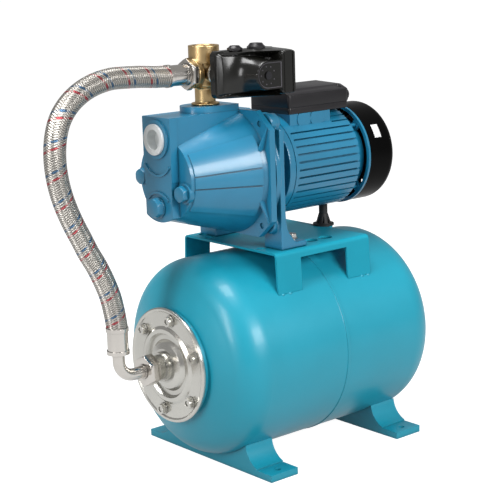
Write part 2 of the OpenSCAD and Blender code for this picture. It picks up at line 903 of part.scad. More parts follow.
module cover_solid(t) {
    length = cover_x2 - rim_x2;
    edge = 14;
    rotate_extrude($fn = 96) {
        square([fin_r - t, length - edge]);
        square([fin_r - edge, length - t]);
        intersection() {
            translate([fin_r - edge, length - edge]) circle(r = edge - t);
            translate([0, length - edge]) square([200, 200]);
        }
    }
}

module fan_cover_screws() {
    color([0.6, 0.6, 0.6]) cover_screw_places() {
        translate([0, 0, 65.6]) cylinder(h = 5, r = 2);
        translate([0, 0, 70.05]) cylinder(h = 2, r1 = 3.8, r2 = 2.6);
    }
}

// ---------------------------------------------------------------- terminal box

module box_place(z) {
    translate([(box_x1 + box_x2) / 2, (box_y1 + box_y2) / 2, z]) children();
}

module terminal_box() {
    w = box_x2 - box_x1;
    d = box_y2 - box_y1;
    color([0.09, 0.09, 0.10]) difference() {
        box_place(box_z) rounded_plate(w, d, 9, 4);
        box_place(box_z + 2) rounded_plate(w - 5, d - 5, 9, 2);
        translate([20, 0, box_z - 1]) cylinder(h = 5, r = 11);
    }
}

// Lid with a shallow pitched top, highest near its back edge
module terminal_box_lid() {
    w = box_x2 - box_x1;
    d = box_y2 - box_y1;
    base = box_z + 9;
    color([0.09, 0.09, 0.10]) difference() {
        intersection() {
            box_place(base) rounded_plate(w, d, 30, 4);
            lid_prism(0);
        }
        difference() {
            intersection() {
                box_place(base - 1) rounded_plate(w - 5, d - 5, 30, 2);
                lid_prism(2.5);
            }
            lid_screw_places() translate([0, 0, -3.4]) cylinder(h = 20, r = 6);
        }
        lid_screw_places() cylinder(h = 10, r = 3.6);
        translate([box_x2 - 10, gland_y, gland_z]) rotate([0, 90, 0]) cylinder(h = 20, r = 7);
        lid_screw_places() cylinder(h = 40, r = 2, center = true);
    }
}

module lid_prism(t) {
    translate([box_x1 - 1, 0, 0]) rotate([90, 0, 90]) linear_extrude(box_x2 - box_x1 + 2)
        polygon([
            [box_y1 - 1, 460], [box_y2 + 1, 460], [box_y2 + 1, 492 - t], [20, 497 - t],
            [-30, 495 - t], [box_y1 - 1, 488.5 - t]
        ]);
}

module lid_screw_places() {
    for (x = [box_x1 + 8, box_x2 - 8], place = [[box_y1 + 10, 490.9], [box_y2 - 9, 492.8]])
        translate([x, place[0], place[1]]) children();
}

module terminal_box_screws() {
    color([0.6, 0.6, 0.6]) lid_screw_places() {
        translate([0, 0, -20]) cylinder(h = 20.5, r = 2);
        cylinder(h = 1.2, r = 3.4);
    }
}

module terminal_block() {
    color([0.85, 0.85, 0.8]) translate([-5, -12, box_z + 2]) difference() {
        cube([18, 40, 12]);
        for (y = [5 : 10 : 35]) translate([9, y, 4]) cylinder(h = 10, r = 2.5);
    }
}

module capacitor() {
    color([0.88, 0.88, 0.88]) {
        translate([34, -14, box_z + 17]) rotate([0, 90, 0]) cylinder(h = 48, r = 12.5);
        translate([28, -14, box_z + 17]) rotate([0, 90, 0]) cylinder(h = 6, r = 10);
    }
}

module cable_gland() {
    color([0.06, 0.06, 0.06]) translate([box_x2, gland_y, gland_z]) rotate([0, 90, 0]) difference() {
        union() {
            translate([0, 0, -5]) cylinder(h = 8, r = 6.9);
            translate([0, 0, 0.05]) cylinder(h = 4, r = 12, $fn = 8);
            translate([0, 0, 4]) cylinder(h = 5, r1 = 11, r2 = 7.5, $fn = 12);
        }
        translate([0, 0, -10]) cylinder(h = 30, r = 4);
    }
}

// Rubber post under the motor's fan end
module motor_support() {
    color([0.1, 0.1, 0.1]) translate([support_x, 0, deck_z]) difference() {
        union() {
            cylinder(h = 3, r = 15);
            translate([0, 0, 3]) cylinder(h = 14, r1 = 11, r2 = 6.5);
            translate([0, 0, 16]) cylinder(h = 20, r = 6.2);
            translate([0, 0, -3.2]) cylinder(h = 4, r = 4.8);
        }
        translate([-100, 0, pump_z - deck_z]) rotate([0, 90, 0]) cylinder(h = 200, r = fin_r);
        for (a = [0 : 45 : 359])
            rotate([0, 0, a]) translate([9.5, 0, 3.5]) cylinder(h = 18, r = 2);
    }
}

module foot_bolts() {
    color([0.82, 0.82, 0.8]) for (s = [-1, 1]) translate([foot_bolt_x, s * foot_bolt_y, deck_z + foot_plate_h]) {
        cylinder(h = 1.6, r = 8.5);
        translate([0, 0, 1.6]) hex_bolt(13, 5.6, 4, 24);
    }
}

module foot_nuts() {
    color([0.82, 0.82, 0.8]) for (s = [-1, 1])
        translate([foot_bolt_x, s * foot_bolt_y, deck_z - deck_t - 6.5]) difference() {
            hex(6.5, 13);
            translate([0, 0, -1]) cylinder(h = 9, r = 4);
        }
}

// ---------------------------------------------------------------- fitting and switch

// Five-way brass fitting: pump, outlet, hose, switch and gauge ports
module brass_fitting() {
    color([0.80, 0.62, 0.32]) difference() {
        union() {
            translate([outlet_x, 0, 472]) cylinder(h = 14, r = thread_r);
            translate([outlet_x, 0, boss_top_z]) cylinder(h = 3, r = 18.5);
            translate([outlet_x, 0, boss_top_z]) cylinder(h = 24, r = 13.6);
            translate([outlet_x, 0, 506]) cylinder(h = 4, r1 = 13.6, r2 = 17);
            translate([outlet_x, 0, 510]) cylinder(h = 32, r = 17);
            translate([outlet_x, 0, 539]) cylinder(h = fitting_top_z - 539, r = 20.3);
            back_along_x(outlet_x, branch_z) cylinder(h = 29, r = 13);
            back_along_x(outlet_x - 14, branch_z) cylinder(h = 8, r = 19);
            back_along_x(outlet_x - 20, branch_z) cylinder(h = 9, r = 16);
            along_y(outlet_x, -22, branch_z) cylinder(h = 44, r = 11);
            along_y(outlet_x, -36, branch_z) cylinder(h = 20, r = 6.5);
        }
        translate([outlet_x, 0, 470]) cylinder(h = 60, r = 10);
        translate([outlet_x, 0, 542]) cylinder(h = 30, r = port_r);
        translate([outlet_x, 0, 520]) cylinder(h = 30, r = 10);
        back_along_x(outlet_x, branch_z) cylinder(h = 60, r = 10);
        along_y(outlet_x, -40, branch_z) cylinder(h = 40, r = 3.5);
        along_y(outlet_x, 0, branch_z) cylinder(h = 60, r = 6);
    }
}

module gauge_port_plug() {
    color([0.80, 0.62, 0.32]) along_y(outlet_x, 22, branch_z) {
        translate([0, 0, -9]) cylinder(h = 9, r = 6);
        cylinder(h = 1.5, r = 9);
        translate([0, 0, 1.5]) hex(5, 14);
    }
}

module switch_base() {
    color([0.65, 0.66, 0.66]) {
        difference() {
            translate([switch_x1 + 3, switch_y2 - 3, switch_z1 + 3])
                cube([switch_x2 - switch_x1 - 6, 3, switch_z2 - switch_z1 - 6]);
            along_y(outlet_x, switch_y2 - 10, branch_z) cylinder(h = 20, r = 6.5);
        }
        along_y(outlet_x, switch_y2, branch_z) difference() {
            union() {
                cylinder(h = 3, r = 16);
                hex(7.9, 19);
            }
            translate([0, 0, -1]) cylinder(h = 20, r = 6.5);
        }
    }
}

// Hollow cover: a rim, a sloped face to a round boss, and a tapered full-height block
module switch_cover() {
    color([0.05, 0.05, 0.05]) difference() {
        switch_cover_solid(0);
        translate([0, 0.01, 0]) switch_cover_solid(2);
        along_y(boss_x, switch_y1 - 5, boss_z) cylinder(h = 20, r = 2.6);
        for (x = gland_xs)
            translate([x, switch_y2 - 20, switch_z2 - 10]) cylinder(h = 20, r = 6);
    }
}

module switch_cover_solid(t) {
    x1 = switch_x1 + t;
    x2 = switch_x2 - t;
    z1 = switch_z1 + t;
    z2 = switch_z2 - t;
    y1 = switch_y1 + t;
    y2 = switch_y2 - 3;
    translate([x1, y2 - 10, z1]) cube([x2 - x1, 10, z2 - z1]);
    hull() {
        translate([x1, y2 - 10, z1]) cube([x2 - x1, 1, z2 - z1]);
        translate([boss_x, y1, boss_z]) rotate([-90, 0, 0])
            cylinder(h = 1, r = 18.5 - t, $fn = 32);
        translate([-80, y1, 507 + t]) cube([18, 1, 34 - 2 * t]);
    }
    hull() {
        translate([-67 + t, y1, 499.5 + t]) cube([24 - 2 * t, 1, 55 - 2 * t]);
        translate([-69 + t, y2 - 2, z1]) cube([x2 + 66 - t, 1, z2 - z1]);
    }
}

module switch_cover_screw() {
    color([0.5, 0.5, 0.5]) along_y(boss_x, switch_y1 - 1.5, boss_z) {
        cylinder(h = 1.4, r = 5);
        translate([0, 0, 1.4]) cylinder(h = 40, r = 2.5);
    }
}

module switch_springs() {
    color([0.75, 0.76, 0.78]) {
        for (i = [0 : 11])
            along_y(-84, -63.4 + 1.6 * i, 540) spring_ring(5, 0.81);
        for (i = [0 : 9])
            along_y(-60, -56 + 1.2 * i, 540) spring_ring(3, 0.61);
    }
}

module spring_ring(r, wire_r) {
    rotate_extrude($fn = 32) translate([r, 0]) circle(r = wire_r, $fn = 16);
}

module switch_lever() {
    color([0.8, 0.8, 0.78]) {
        difference() {
            translate([-100, -43.5, 503]) cube([48, 1.6, 46]);
            translate([-110, -50, 515]) cube([32, 20, 20]);
            along_y(boss_x, -60, boss_z) cylinder(h = 40, r = 4);
        }
        translate([-100, -42.7, 503]) rotate([0, 90, 0]) cylinder(h = 48, r = 1.6);
    }
}

module switch_glands() {
    color([0.05, 0.05, 0.05]) for (i = [0, 1])
        translate([gland_xs[i], switch_y2 - 20, switch_z2 - 6]) difference() {
            union() {
                cylinder(h = 7, r = 5.9);
                translate([0, 0, 6.1]) cylinder(h = 3, r = 10 + 2 * i, $fn = 8);
                translate([0, 0, 9]) cylinder(h = 3 + i, r1 = 9 + 2 * i, r2 = 6 + 2 * i);
            }
            translate([0, 0, -1]) cylinder(h = 30, r = 3.5);
        }
}

// ---------------------------------------------------------------- hose

// Direction of the route at point i, in the X-Z plane
function heading(i) = let (
    a = hose_route[max(i - 1, 0)],
    b = hose_route[min(i + 1, len(hose_route) - 1)],
    first = [-1, 0],
    last = [0, -1],
    d = i == 0 ? first : i == len(hose_route) - 1 ? last : b - a
) d / norm(d);

function hose_ring(i) = let (d = heading(i), p = hose_route[i]) [
    for (k = [0 : hose_sides - 1]) let (
        a = 360 * k / hose_sides,
        side = hose_d / 2 * cos(a),
        up = hose_d / 2 * sin(a)
    ) [p[0] + up * d[1], side, p[1] - up * d[0]]
];

module hose() {
    rings = len(hose_route);
    points = [for (i = [0 : rings - 1]) each hose_ring(i)];
    walls = [
        for (i = [0 : rings - 2], k = [0 : hose_sides - 1]) let (
            a = i * hose_sides + k,
            b = i * hose_sides + (k + 1) % hose_sides
        ) [a, b, b + hose_sides, a + hose_sides]
    ];
    start = [for (k = [hose_sides - 1 : -1 : 0]) k];
    finish = [for (k = [0 : hose_sides - 1]) (rings - 1) * hose_sides + k];
    color([0.72, 0.70, 0.68]) polyhedron(points, concat([start], walls, [finish]));
}

// Crimped ferrule with a rolled bead at each end, from z = 0
module ferrule(length) {
    difference() {
        union() {
            cylinder(h = length, r = 13.6);
            for (z = [0, length - 5]) translate([0, 0, z]) cylinder(h = 5, r = 14.8);
        }
        translate([0, 0, -1]) cylinder(h = length + 2, r = tail_r);
    }
}

module hose_ferrules() {
    color([0.80, 0.79, 0.76]) {
        back_along_x(upper_ferrule_x, branch_z) ferrule(upper_ferrule_x + 186);
        translate([leg_x, 0, lower_ferrule_z]) ferrule(35);
    }
}

// Straight upper tail and bent lower tail, each with the collar its nut pulls on
module hose_tails() {
    bend = 22;
    bore_r = 6;
    elbow_x = leg_x + bend;
    elbow_z = tank_z + bend;
    color([0.82, 0.80, 0.76]) {
        back_along_x(seat_x, branch_z) {
            tube(seat_x + 186, tail_r, bore_r);
            tube(1.1, 14, bore_r);
        }
        translate([leg_x, 0, elbow_z]) tube(214 - elbow_z, tail_r, bore_r);
        translate([elbow_x, 0, elbow_z]) rotate([90, 0, 0]) rotate([0, 0, 180])
            rotate_extrude(angle = 90) translate([bend, 0]) difference() {
                circle(r = tail_r);
                circle(r = bore_r);
            }
        along_x(elbow_x, tank_z) tube(lower_seat_x - elbow_x, tail_r, bore_r);
        along_x(lower_seat_x - 2, tank_z) tube(2, 14, bore_r);
        along_x(lower_seat_x - 6, tank_z) tube(2, 9.5, bore_r);
    }
}

// Hexagon union nut on a threaded stub, from its closed face at z = 0
module union_nut(length, wall, stub_r) {
    difference() {
        intersection() {
            hex(length, 36.5);
            cylinder(h = length + 4, r1 = 19, r2 = 23 + length);
        }
        translate([0, 0, wall]) cylinder(h = length, r = stub_r);
        translate([0, 0, -1]) cylinder(h = length, r = tail_r + 0.3);
    }
}

module hose_upper_nut() {
    color([0.80, 0.81, 0.82]) along_x(-154.5, branch_z) union_nut(8.5, 1.2, 16.07);
}

module hose_lower_nut() {
    color([0.80, 0.81, 0.82]) along_x(-243, tank_z) union_nut(15, 1.6, thread_r + 0.07);
}

tank_front_shell();
tank_rear_shell();
tank_membrane();
tank_neck_ring();
tank_flange();
flange_bolts();
air_valve_stem();
air_valve_pin();
air_valve_cap();
front_foot();
rear_foot();
deck();
pump_body();
suction_cap();
front_plug();
side_plugs();
ejector_nozzle();
ejector_tube();
diffuser();
impeller();
seal_rotor();
seal_seat();
body_gasket();
motor_bracket();
body_bolts();
foot_bolts();
foot_nuts();
motor_frame();
stator_core();
stator_windings();
rotor_core();
shaft();
bearing_outer_rings();
bearing_inner_rings();
bearing_balls();
rear_end_shield();
tie_rods();
fan();
fan_cover();
fan_cover_screws();
terminal_box();
terminal_box_lid();
terminal_box_screws();
terminal_block();
capacitor();
cable_gland();
motor_support();
brass_fitting();
gauge_port_plug();
switch_base();
switch_cover();
switch_cover_screw();
switch_springs();
switch_lever();
switch_glands();
hose();
hose_ferrules();
hose_tails();
hose_upper_nut();
hose_lower_nut();
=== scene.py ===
"""Looks of the jet pump set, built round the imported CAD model. Metres, +Z up."""
import json
import math

import bmesh
import bpy
from mathutils import Matrix, Vector


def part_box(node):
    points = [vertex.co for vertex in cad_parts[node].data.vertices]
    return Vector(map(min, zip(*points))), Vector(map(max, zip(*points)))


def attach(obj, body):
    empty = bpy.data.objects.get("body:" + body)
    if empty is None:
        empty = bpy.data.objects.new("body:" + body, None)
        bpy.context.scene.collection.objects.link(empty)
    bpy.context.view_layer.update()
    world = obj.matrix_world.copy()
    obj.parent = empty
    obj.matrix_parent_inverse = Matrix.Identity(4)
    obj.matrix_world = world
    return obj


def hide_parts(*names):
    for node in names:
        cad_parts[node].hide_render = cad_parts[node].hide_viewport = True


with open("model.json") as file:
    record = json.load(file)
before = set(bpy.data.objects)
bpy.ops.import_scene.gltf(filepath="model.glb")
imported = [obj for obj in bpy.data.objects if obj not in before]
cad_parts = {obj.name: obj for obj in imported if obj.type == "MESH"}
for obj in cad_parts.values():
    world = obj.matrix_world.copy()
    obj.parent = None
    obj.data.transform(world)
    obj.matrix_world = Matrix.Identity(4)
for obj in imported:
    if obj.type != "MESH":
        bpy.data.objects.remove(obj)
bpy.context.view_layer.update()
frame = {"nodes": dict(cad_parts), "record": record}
MM = 0.001
X_AXIS = Vector((1, 0, 0))


# ------------------------------------------------------------------ camera

def place_camera():
    """A long lens low over the floor, looking at the set from its flange end."""
    yaw, pitch, roll = math.radians(40.12), math.radians(-12.22), math.radians(-1.77)
    ahead = Vector((math.sin(yaw) * math.cos(pitch), math.cos(yaw) * math.cos(pitch), math.sin(pitch)))
    right = Vector((math.cos(yaw), -math.sin(yaw), 0))
    up = right.cross(ahead)
    side = right * math.cos(roll) + up * math.sin(roll)
    top = up * math.cos(roll) - right * math.sin(roll)
    turn = Matrix((side, top, -ahead)).transposed().to_4x4()
    data = bpy.data.cameras.new("camera")
    data.sensor_width = 36
    data.lens = 102.61
    data.clip_end = 20
    camera = bpy.data.objects.new("camera", data)
    camera.matrix_world = Matrix.Translation((-1.28417, -1.45911, 0.69138)) @ turn
    bpy.context.scene.collection.objects.link(camera)
    bpy.context.scene.camera = camera


place_camera()


# ------------------------------------------------------------------ helpers

def link(obj):
    bpy.context.scene.collection.objects.link(obj)
    return obj


def mesh_object(name, verts, faces, smooth=True):
    data = bpy.data.meshes.new(name)
    data.from_pydata(verts, [], faces)
    data.validate()
    for poly in data.polygons:
        poly.use_smooth = smooth
    return link(bpy.data.objects.new(name, data))


def new_material(name):
    mat = bpy.data.materials.new(name)
    mat.use_nodes = True
    tree = mat.node_tree
    tree.nodes.clear()
    out = tree.nodes.new("ShaderNodeOutputMaterial")
    shader = tree.nodes.new("ShaderNodeBsdfPrincipled")
    tree.links.new(shader.outputs[0], out.inputs["Surface"])
    return mat, tree, shader


def node(tree, kind, **inputs):
    made = tree.nodes.new(kind)
    for key, value in inputs.items():
        name = key.replace("_", " ")
        if hasattr(made, key):
            setattr(made, key, value)
        else:
            made.inputs[name].default_value = value
    return made


def math_node(tree, operation, a, b=None, c=None):
    made = tree.nodes.new("ShaderNodeMath")
    made.operation = operation
    for i, value in enumerate((a, b, c)):
        if value is None:
            continue
        if isinstance(value, (int, float)):
            made.inputs[i].default_value = value
        else:
            tree.links.new(value, made.inputs[i])
    return made.outputs[0]


def ramp(tree, factor, stops):
    made = tree.nodes.new("ShaderNodeValToRGB")
    elements = made.color_ramp.elements
    while len(elements) < len(stops):
        elements.new(0.5)
    for element, (place, colour) in zip(elements, stops):
        element.position = place
        element.color = colour if len(colour) == 4 else (*colour, 1)
    tree.links.new(factor, made.inputs[0])
    return made.outputs[0]


def bump(tree, shader, height, strength, distance, under=None):
    made = tree.nodes.new("ShaderNodeBump")
    made.inputs["Strength"].default_value = strength
    made.inputs["Distance"].default_value = distance
    tree.links.new(height, made.inputs["Height"])
    if under is not None:
        tree.links.new(under, made.inputs["Normal"])
    tree.links.new(made.outputs[0], shader.inputs["Normal"])
    return made.outputs[0]


def noise(tree, scale, detail=3.0, rough=0.55, stretch=None):
    place = tree.nodes.new("ShaderNodeTexCoord").outputs["Object"]
    if stretch is not None:
        mapping = tree.nodes.new("ShaderNodeMapping")
        mapping.inputs["Scale"].default_value = stretch
        tree.links.new(place, mapping.inputs["Vector"])
        place = mapping.outputs[0]
    made = tree.nodes.new("ShaderNodeTexNoise")
    made.inputs["Scale"].default_value = scale
    made.inputs["Detail"].default_value = detail
    made.inputs["Roughness"].default_value = rough
    tree.links.new(place, made.inputs["Vector"])
    return made.outputs["Fac"]


def shade(colour, factor):
    return tuple(min(1.0, c * factor) for c in colour)


def surface(name, colour, rough, metal=0.0, coat=0.0, vary=0.06, grain=0.0, grain_scale=900.0,
            peel=0.0, peel_scale=140.0, rough_vary=0.06, spec=0.5, stretch=None, edge=0.0, crevice_shade=0.0):
    """A painted, plated or moulded surface: cloudy colour, uneven gloss, fine grain and a slow ripple, with painted
    shade darkening its crevices when asked.
    """
    mat, tree, shader = new_material(name)
    clouds = noise(tree, 14.0, 4.0, 0.6)
    tone = ramp(tree, clouds, [(0.3, shade(colour, 1 - vary)), (0.7, shade(colour, 1 + vary))])
    # Painted shade: ambient occlusion darkens the base colour in creases, corners and hollows, by the given amount.
    if crevice_shade:
        hollow = tree.nodes.new("ShaderNodeAmbientOcclusion")
        hollow.samples = 6
        hollow.inputs["Distance"].default_value = 7 * MM
        shade_ramp = ramp(tree, hollow.outputs["AO"], [(0.25, (1 - crevice_shade,) * 3), (0.85, (1, 1, 1))])
        mix = tree.nodes.new("ShaderNodeMix")
        mix.data_type = "RGBA"
        mix.blend_type = "MULTIPLY"
        mix.inputs["Factor"].default_value = 1.0
        tree.links.new(tone, mix.inputs["A"])
        tree.links.new(shade_ramp, mix.inputs["B"])
        tone = mix.outputs["Result"]
    tree.links.new(tone, shader.inputs["Base Color"])
    gloss = noise(tree, 55.0, 5.0, 0.6, stretch)
    spread = node(tree, "ShaderNodeMapRange")
    spread.inputs["To Min"].default_value = max(0.02, rough - rough_vary)
    spread.inputs["To Max"].default_value = rough + rough_vary
    tree.links.new(gloss, spread.inputs["Value"])
    tree.links.new(spread.outputs[0], shader.inputs["Roughness"])
    shader.inputs["Metallic"].default_value = metal
    shader.inputs["Coat Weight"].default_value = coat
    shader.inputs["Coat Roughness"].default_value = 0.08
    shader.inputs["Specular IOR Level"].default_value = spec
    normal = None
    if edge:
        rounded = tree.nodes.new("ShaderNodeBevel")
        rounded.samples = 4
        rounded.inputs["Radius"].default_value = edge * MM
        normal = rounded.outputs[0]
        tree.links.new(normal, shader.inputs["Normal"])
    if peel:
        normal = bump(tree, shader, noise(tree, peel_scale, 2.0), peel, 0.0006, normal)
    if grain:
        bump(tree, shader, noise(tree, grain_scale, 3.0, 0.6, stretch), grain, 0.0003, normal)
    return mat


TURQUOISE = (0.012, 0.34, 0.47)
BLUE = (0.010, 0.205, 0.365)

# The crevice amounts below set how much painted shade darkens each finish in its creases and hollows.
tank_paint = surface("tank_enamel", TURQUOISE, 0.36, coat=0.12, peel=0.05, vary=0.03, edge=0.8, crevice_shade=0.5)
deck_paint = surface("deck_enamel", TURQUOISE, 0.42, peel=0.05, vary=0.04, spec=0.2, edge=0.8, crevice_shade=0.7)
pump_paint = surface("casting_enamel", BLUE, 0.33, coat=0.3, peel=0.12, peel_scale=230.0, grain=0.12, vary=0.07,
                     spec=0.7, edge=0.7, crevice_shade=0.75)
fin_paint = surface("frame_enamel", BLUE, 0.33, coat=0.3, peel=0.12, peel_scale=230.0, grain=0.12, vary=0.07,
                    spec=0.7, edge=0.4, crevice_shade=0.3)
zinc = surface("zinc_plate", (0.62, 0.61, 0.57), 0.24, metal=1.0, grain=0.03, vary=0.08, edge=0.5, crevice_shade=0.6)
steel = surface("steel", (0.52, 0.53, 0.54), 0.28, metal=1.0, grain=0.06)
nickel = surface("nickel_plate", (0.66, 0.63, 0.59), 0.16, metal=1.0, grain=0.02, vary=0.06, edge=0.5, crevice_shade=0.6)
brass = surface("brass", (0.56, 0.40, 0.20), 0.34, metal=1.0, grain=0.35, grain_scale=520.0, vary=0.22,
                rough_vary=0.12, crevice_shade=0.6)
black_gloss = surface("black_gloss", (0.002, 0.002, 0.002), 0.20, peel=0.04, vary=0.2, spec=0.05)
black_moulded = surface("black_moulded", (0.010, 0.009, 0.011), 0.36, grain=0.20, vary=0.2, edge=0.8, spec=0.4)
switch_black = surface("switch_black", (0.005, 0.005, 0.004), 0.22, grain=0.06, vary=0.2, spec=0.5)
switch_face = surface("switch_face", (0.050, 0.046, 0.056), 0.5, grain=0.5, vary=0.3)
dark_moulded = surface("dark_moulded", (0.02, 0.02, 0.023), 0.45, grain=0.3, vary=0.2)
white_moulded = surface("white_moulded", (0.76, 0.79, 0.79), 0.36, grain=0.08, vary=0.02, edge=0.6)
rubber = surface("rubber", (0.012, 0.012, 0.012), 0.6, grain=0.3, vary=0.2)
aluminium = surface("aluminium", (0.72, 0.73, 0.74), 0.38, metal=1.0, grain=0.2)
lamination = surface("lamination", (0.35, 0.36, 0.38), 0.45, metal=0.9, grain=0.4, stretch=(40, 1, 1))
copper = surface("copper_wire", (0.62, 0.25, 0.09), 0.32, metal=0.9, grain=0.3, stretch=(60, 1, 1))
ceramic = surface("ceramic", (0.75, 0.72, 0.64), 0.3, vary=0.04)
dark_screw = surface("dark_screw", (0.05, 0.05, 0.055), 0.35, metal=1.0, vary=0.1)
label_white = surface("label_film", (0.80, 0.80, 0.80), 0.35, vary=0.02, grain=0.1)

BY_SLOT = {
    "tank_paint": tank_paint, "pump_paint": pump_paint, "zinc": zinc, "zinc_screw": zinc,
    "nickel": nickel, "brass": brass, "white_plastic": white_moulded, "black_gloss": black_gloss,
    "black_plastic": black_moulded, "dark_plastic": dark_moulded, "rubber": rubber, "steel": steel,
    "lamination": lamination, "aluminium": aluminium, "copper": copper, "ceramic": ceramic,
    "braid": steel,
}
SLOT_OF = {part["node"]: part["material_slot"] for part in frame["record"]["subparts"]}
BY_NODE = {"switch_cover": switch_black, "switch_cover_screw": dark_screw, "switch_glands": black_moulded,
           "tie_rods": pump_paint, "motor_frame": fin_paint, "rear_end_shield": fin_paint, "deck": deck_paint, "terminal_box_screws": dark_screw}

for name, obj in frame["nodes"].items():
    mat = BY_NODE.get(name, BY_SLOT[SLOT_OF[name]])
    obj.data.materials.clear()
    obj.data.materials.append(mat)


# ------------------------------------------------------------------ rounded castings and pressings

def evaluated_copy(source, name, modifiers):
    """A new piece made from a CAD node's mesh with modifiers applied."""
    work = link(bpy.data.objects.new(name + "_work", source.data.copy()))
    for kind, settings in modifiers:
        mod = work.modifiers.new(kind.lower(), kind)
        for key, value in settings.items():
            setattr(mod, key, value)
    graph = bpy.context.evaluated_depsgraph_get()
    data = bpy.data.meshes.new_from_object(work.evaluated_get(graph))
    bpy.data.objects.remove(work)
    data.name = name
    return data


def finish_piece(data, node_name, mat, angle):
    """Puts a rounded piece in the place of its CAD node."""
    data.materials.clear()
    data.materials.append(mat)
    data.polygons.foreach_set("use_smooth", [True] * len(data.polygons))
    if angle:
        data.set_sharp_from_angle(angle=math.radians(angle))
    obj = link(bpy.data.objects.new(node_name + "_look", data))
    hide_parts(node_name)
    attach(obj, BODY_OF[node_name])
    return obj


def cast(node_name, mat, voxel, rounds, tidy=0.5):
    """A cast piece: every edge and corner rounded as a mould leaves it."""
    source = frame["nodes"][node_name]
    data = evaluated_copy(source, node_name + "_cast", [
        ("REMESH", {"mode": "VOXEL", "voxel_size": voxel * MM, "use_smooth_shade": True}),
        ("SMOOTH", {"factor": 0.5, "iterations": rounds}),
    ])
    return finish_piece(data, node_name, mat, 0)


def merged(source, name):
    """A node's mesh with its seams joined and its flat faces whole."""
    data = source.data.copy()
    data.name = name
    bm = bmesh.new()
    bm.from_mesh(data)
    bmesh.ops.remove_doubles(bm, verts=bm.verts, dist=2e-6)
    bmesh.ops.dissolve_limit(bm, angle_limit=math.radians(0.6), verts=bm.verts, edges=bm.edges)
    bm.to_mesh(data)
    bm.free()
    return data


def pressed(node_name, mat, width, segments=2, angle=34):
    """A pressed or moulded piece: a small round on each sharp edge."""
    work = link(bpy.data.objects.new(node_name + "_work", merged(frame["nodes"][node_name], node_name + "_press")))
    mod = work.modifiers.new("round", "BEVEL")
    mod.width = width * MM
    mod.segments = segments
    mod.limit_method = "ANGLE"
    mod.angle_limit = math.radians(angle)
    mod.use_clamp_overlap = True
    mod.harden_normals = False
    graph = bpy.context.evaluated_depsgraph_get()
    data = bpy.data.meshes.new_from_object(work.evaluated_get(graph))
    bpy.data.objects.remove(work)
    return finish_piece(data, node_name, mat, 40)


BODY_OF = {n: body for body, names in frame["record"]["behaviour"]["bodies"].items() for n in names}

cast("motor_bracket", pump_paint, 1.0, 3)
cast("brass_fitting", brass, 0.9, 3)
for name, mat, width in (
        ("terminal_box", black_moulded, 0.8), ("terminal_box_lid", black_moulded, 1.2),
        ("hose_upper_nut", nickel, 0.5), ("hose_lower_nut", nickel, 0.6),
        ("front_plug", pump_paint, 0.7), ("side_plugs", pump_paint, 0.7)):
    pressed(name, mat, width)


# ------------------------------------------------------------------ pressure switch's cover

